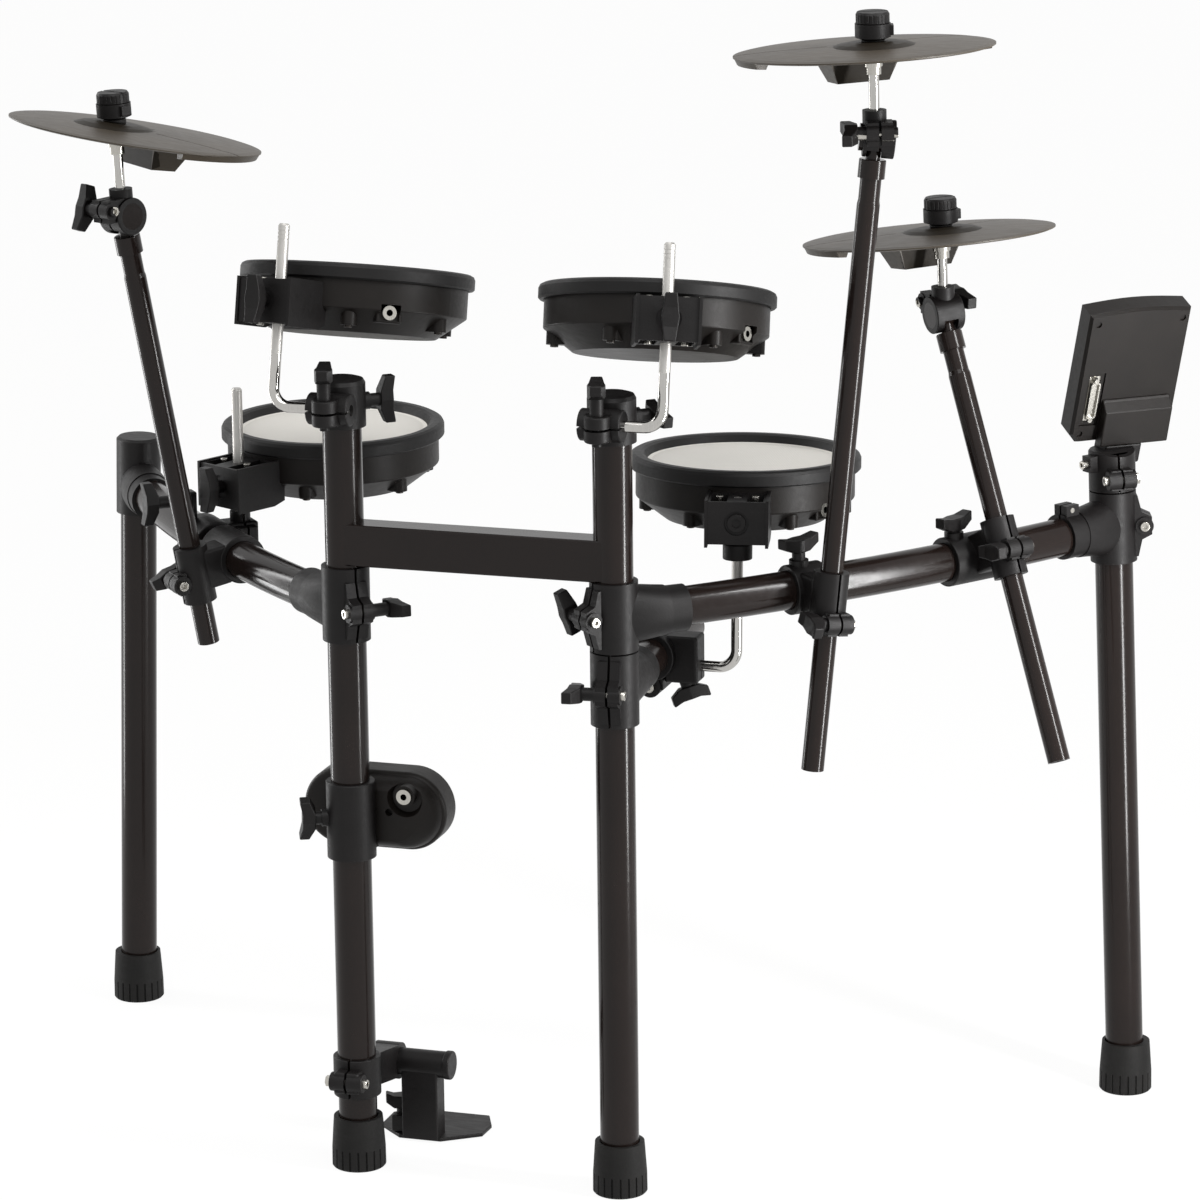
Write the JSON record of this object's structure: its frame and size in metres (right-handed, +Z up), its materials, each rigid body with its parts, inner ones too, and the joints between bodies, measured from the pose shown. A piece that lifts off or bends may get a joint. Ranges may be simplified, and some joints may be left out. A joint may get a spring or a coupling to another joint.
{
  "type": "electronic drum kit",
  "caption": "Compact electronic drum kit: tube rack carrying mesh-head pads, rubber cymbal pads, sound module, kick trigger and pedal bracket, with clamps that swivel, slide and tilt.",
  "frame": {"origin": "on the floor, below the centre of the whole kit's bounding box", "axes": "+Z up, +Y towards the drummer, +X along the front crossbar"},
  "size_m": [1.1748, 0.5614, 1.1501],
  "materials": {
    "black_paint": "semi-gloss black paint",
    "moulded_black": "fine matte moulded texture",
    "black_rubber": "smooth matte rubber",
    "chrome": "bright chrome",
    "mesh": "light grey woven mesh",
    "soft_touch": "soft-touch matte"
  },
  "bodies": {
    "front_frame": {"left_front_post": "black_paint", "right_front_post": "black_paint", "front_crossbar": "black_paint", "front_feet": "black_rubber"},
    "left_wing": {"left_wing_bar": "black_paint", "left_wing_tees": "moulded_black", "left_rear_leg": "black_paint", "left_rear_foot": "black_rubber"},
    "right_wing": {"right_wing_bar": "black_paint", "right_wing_tees": "moulded_black", "right_rear_leg": "black_paint", "right_rear_foot": "black_rubber"},
    "snare_arm": {"snare_tee": "moulded_black", "snare_arm": "black_paint"},
    "left_tom_clamp": {"left_tom_clamp": "moulded_black"},
    "left_tom_rod": {"left_tom_rod": "chrome"},
    "left_tom_pad": {"left_tom_shell": "moulded_black", "left_tom_hoop": "black_rubber", "left_tom_head": "mesh", "left_tom_fittings": "moulded_black"},
    "right_tom_clamp": {"right_tom_clamp": "moulded_black"},
    "right_tom_rod": {"right_tom_rod": "chrome"},
    "right_tom_pad": {"right_tom_shell": "moulded_black", "right_tom_hoop": "black_rubber", "right_tom_head": "mesh", "right_tom_fittings": "moulded_black"},
    "floor_tom_clamp": {"floor_tom_clamp": "moulded_black"},
    "floor_tom_rod": {"floor_tom_rod": "chrome"},
    "floor_tom_pad": {"floor_tom_shell": "moulded_black", "floor_tom_hoop": "black_rubber", "floor_tom_head": "mesh", "floor_tom_fittings": "moulded_black"},
    "snare_clamp": {"snare_clamp": "moulded_black"},
    "snare_rod": {"snare_rod": "chrome"},
    "snare_pad": {"snare_shell": "moulded_black", "snare_hoop": "black_rubber", "snare_head": "mesh", "snare_fittings": "moulded_black"},
    "ride_clamp": {"ride_clamp": "moulded_black"},
    "ride_boom": {"ride_boom": "black_paint"},
    "ride_tilter": {"ride_tilter": "moulded_black"},
    "ride_cymbal": {"ride_cymbal": "black_rubber"},
    "crash_clamp": {"crash_clamp": "moulded_black"},
    "crash_boom": {"crash_boom": "black_paint"},
    "crash_tilter": {"crash_tilter": "moulded_black"},
    "crash_cymbal": {"crash_cymbal": "black_rubber"},
    "hihat_clamp": {"hihat_clamp": "moulded_black"},
    "hihat_boom": {"hihat_boom": "black_paint"},
    "hihat_tilter": {"hihat_tilter": "moulded_black"},
    "hihat_cymbal": {"hihat_cymbal": "black_rubber"},
    "module": {"module_rear_case": "moulded_black", "module_front_panel": "moulded_black", "module_holder": "moulded_black"},
    "module_dial": {"module_dial": "soft_touch"},
    "module_left_button": {"module_left_button": "soft_touch"},
    "module_right_button": {"module_right_button": "soft_touch"},
    "kick_trigger": {"kick_pad": "moulded_black", "kick_holder": "moulded_black"},
    "pedal_clamp": {"pedal_clamp": "moulded_black"},
    "pedal_plate": {"pedal_plate": "black_paint"}
  },
  "joints": [
    {"name": "left_wing_swing", "type": "hinge", "parent": "front_frame", "child": "left_wing", "pos_m": [-0.14982, -0.21038, 0.574], "axis": [0, 0, 1], "range_deg": [-4, 20]},
    {"name": "right_wing_swing", "type": "hinge", "parent": "front_frame", "child": "right_wing", "pos_m": [0.12218, -0.21038, 0.583], "axis": [0, 0, 1], "range_deg": [-20, 4]},
    {"name": "snare_arm_swing", "type": "hinge", "parent": "front_frame", "child": "snare_arm", "pos_m": [0.12218, -0.21038, 0.512], "axis": [0, 0, 1], "range_deg": [-5, 8]},
    {"name": "left_tom_clamp_swivel", "type": "hinge", "parent": "front_frame", "child": "left_tom_clamp", "pos_m": [-0.14982, -0.21038, 0.775], "axis": [0, 0, 1], "range_deg": [-10, 10]},
    {"name": "left_tom_rod_tilt", "type": "hinge", "parent": "left_tom_clamp", "child": "left_tom_rod", "pos_m": [-0.20882, -0.24038, 0.775], "axis": [1, 0, 0], "range_deg": [-10, 10]},
    {"name": "left_tom_height", "type": "slide", "parent": "left_tom_rod", "child": "left_tom_pad", "axis": [0, 0.2504, 0.9682], "range_m": [-0.015, 0.025]},
    {"name": "right_tom_clamp_swivel", "type": "hinge", "parent": "front_frame", "child": "right_tom_clamp", "pos_m": [0.12218, -0.21038, 0.775], "axis": [0, 0, 1], "range_deg": [-10, 10]},
    {"name": "right_tom_rod_tilt", "type": "hinge", "parent": "right_tom_clamp", "child": "right_tom_rod", "pos_m": [0.18118, -0.24038, 0.775], "axis": [1, 0, 0], "range_deg": [-10, 10]},
    {"name": "right_tom_height", "type": "slide", "parent": "right_tom_rod", "child": "right_tom_pad", "axis": [-0.0339, 0.2833, 0.9584], "range_m": [-0.015, 0.025]},
    {"name": "floor_tom_clamp_turn", "type": "hinge", "parent": "left_wing", "child": "floor_tom_clamp", "pos_m": [-0.37888, 0.00416, 0.574], "axis": [-0.666, 0.746, 0], "range_deg": [-5, 5]},
    {"name": "floor_tom_rod_swivel", "type": "hinge", "parent": "floor_tom_clamp", "child": "floor_tom_rod", "pos_m": [-0.35202, 0.02814, 0.574], "axis": [0, 0, 1], "range_deg": [-12, 12]},
    {"name": "floor_tom_height", "type": "slide", "parent": "floor_tom_rod", "child": "floor_tom_pad", "axis": [0, 0, 1], "range_m": [0, 0.025]},
    {"name": "snare_clamp_travel", "type": "slide", "parent": "snare_arm", "child": "snare_clamp", "axis": [0, 1, 0], "range_m": [-0.025, 0.015]},
    {"name": "snare_rod_tilt", "type": "hinge", "parent": "snare_clamp", "child": "snare_rod", "pos_m": [0.20418, -0.07538, 0.501], "axis": [1, 0, 0], "range_deg": [-8, 8]},
    {"name": "snare_height", "type": "slide", "parent": "snare_rod", "child": "snare_pad", "axis": [0, 0.0489, 0.9988], "range_m": [0, 0.018]},
    {"name": "ride_clamp_turn", "type": "hinge", "parent": "left_wing", "child": "ride_clamp", "pos_m": [-0.32363, -0.05492, 0.574], "axis": [-0.6996, 0.7146, 0], "range_deg": [-5, 5]},
    {"name": "ride_boom_height", "type": "slide", "parent": "ride_clamp", "child": "ride_boom", "axis": [-0.1229, -0.1203, 0.9851], "range_m": [-0.03, 0.035]},
    {"name": "ride_tilt", "type": "hinge", "parent": "ride_boom", "child": "ride_tilter", "pos_m": [-0.40264, -0.13227, 0.93182], "axis": [0.8856, -0.4613, 0.0541], "range_deg": [-10, 10]},
    {"name": "ride_rock", "type": "hinge", "parent": "ride_tilter", "child": "ride_cymbal", "pos_m": [-0.40678, -0.13359, 1.01871], "axis": [-0.847, 0.5293, 0.0501], "range_deg": [-4, 4], "stiffness_Nm_per_rad": 6, "springref_deg": -1.23},
    {"name": "crash_clamp_turn", "type": "hinge", "parent": "right_wing", "child": "crash_clamp", "pos_m": [0.27461, -0.07639, 0.58735], "axis": [0.7116, 0.7023, 0.0215], "range_deg": [-4, 4]},
    {"name": "crash_boom_height", "type": "slide", "parent": "crash_clamp", "child": "crash_boom", "axis": [0.0797, 0.0771, 0.9938], "range_m": [-0.06, 0.06]},
    {"name": "crash_tilt", "type": "hinge", "parent": "crash_boom", "child": "crash_tilter", "pos_m": [0.34301, -0.07546, 1.02956], "axis": [0.9489, 0.2995, -0.0993], "range_deg": [-15, 15]},
    {"name": "crash_rock", "type": "hinge", "parent": "crash_tilter", "child": "crash_cymbal", "pos_m": [0.34136, -0.07599, 1.11604], "axis": [-0.8188, -0.5733, -0.0296], "range_deg": [-4, 4], "stiffness_Nm_per_rad": 6, "springref_deg": -1.28},
    {"name": "hihat_clamp_turn", "type": "hinge", "parent": "right_wing", "child": "hihat_clamp", "pos_m": [0.40731, 0.07018, 0.59162], "axis": [0.6283, 0.7777, 0.0215], "range_deg": [-5, 5]},
    {"name": "hihat_boom_height", "type": "slide", "parent": "hihat_clamp", "child": "hihat_boom", "axis": [-0.3237, 0.261, 0.9094], "range_m": [-0.04, 0.06]},
    {"name": "hihat_tilt", "type": "hinge", "parent": "hihat_boom", "child": "hihat_tilter", "pos_m": [0.36593, 0.10291, 0.827], "axis": [0.7609, 0.6432, 0.0862], "range_deg": [-12, 12]},
    {"name": "hihat_rock", "type": "hinge", "parent": "hihat_tilter", "child": "hihat_cymbal", "pos_m": [0.36324, 0.10205, 0.90785], "axis": [-0.7191, -0.6944, -0.0257], "range_deg": [-4, 4], "stiffness_Nm_per_rad": 6, "springref_deg": -1.26},
    {"name": "module_swivel", "type": "hinge", "parent": "right_wing", "child": "module", "pos_m": [0.51176, 0.21652, 0.65], "axis": [-0.0336, 0, 0.9994], "range_deg": [-15, 15]},
    {"name": "module_dial_turn", "type": "hinge", "parent": "module", "child": "module_dial", "pos_m": [0.51565, 0.22951, 0.75719], "axis": [0.5813, -0.7413, -0.3355], "continuous": true},
    {"name": "module_left_button_press", "type": "slide", "parent": "module", "child": "module_left_button", "axis": [0.5813, -0.7413, -0.3355], "range_m": [0, 0.0012], "stiffness_N_per_m": 300},
    {"name": "module_right_button_press", "type": "slide", "parent": "module", "child": "module_right_button", "axis": [0.5813, -0.7413, -0.3355], "range_m": [0, 0.0012], "stiffness_N_per_m": 300},
    {"name": "kick_height", "type": "slide", "parent": "front_frame", "child": "kick_trigger", "axis": [0, 0, 1], "range_m": [-0.08, 0.08]},
    {"name": "pedal_clamp_height", "type": "slide", "parent": "front_frame", "child": "pedal_clamp", "axis": [0, 0, 1], "range_m": [0, 0.04]},
    {"name": "pedal_plate_fold", "type": "hinge", "parent": "pedal_clamp", "child": "pedal_plate", "pos_m": [-0.14982, -0.12238, 0.08], "axis": [1, 0, 0], "range_deg": [0, 60]}
  ]
}
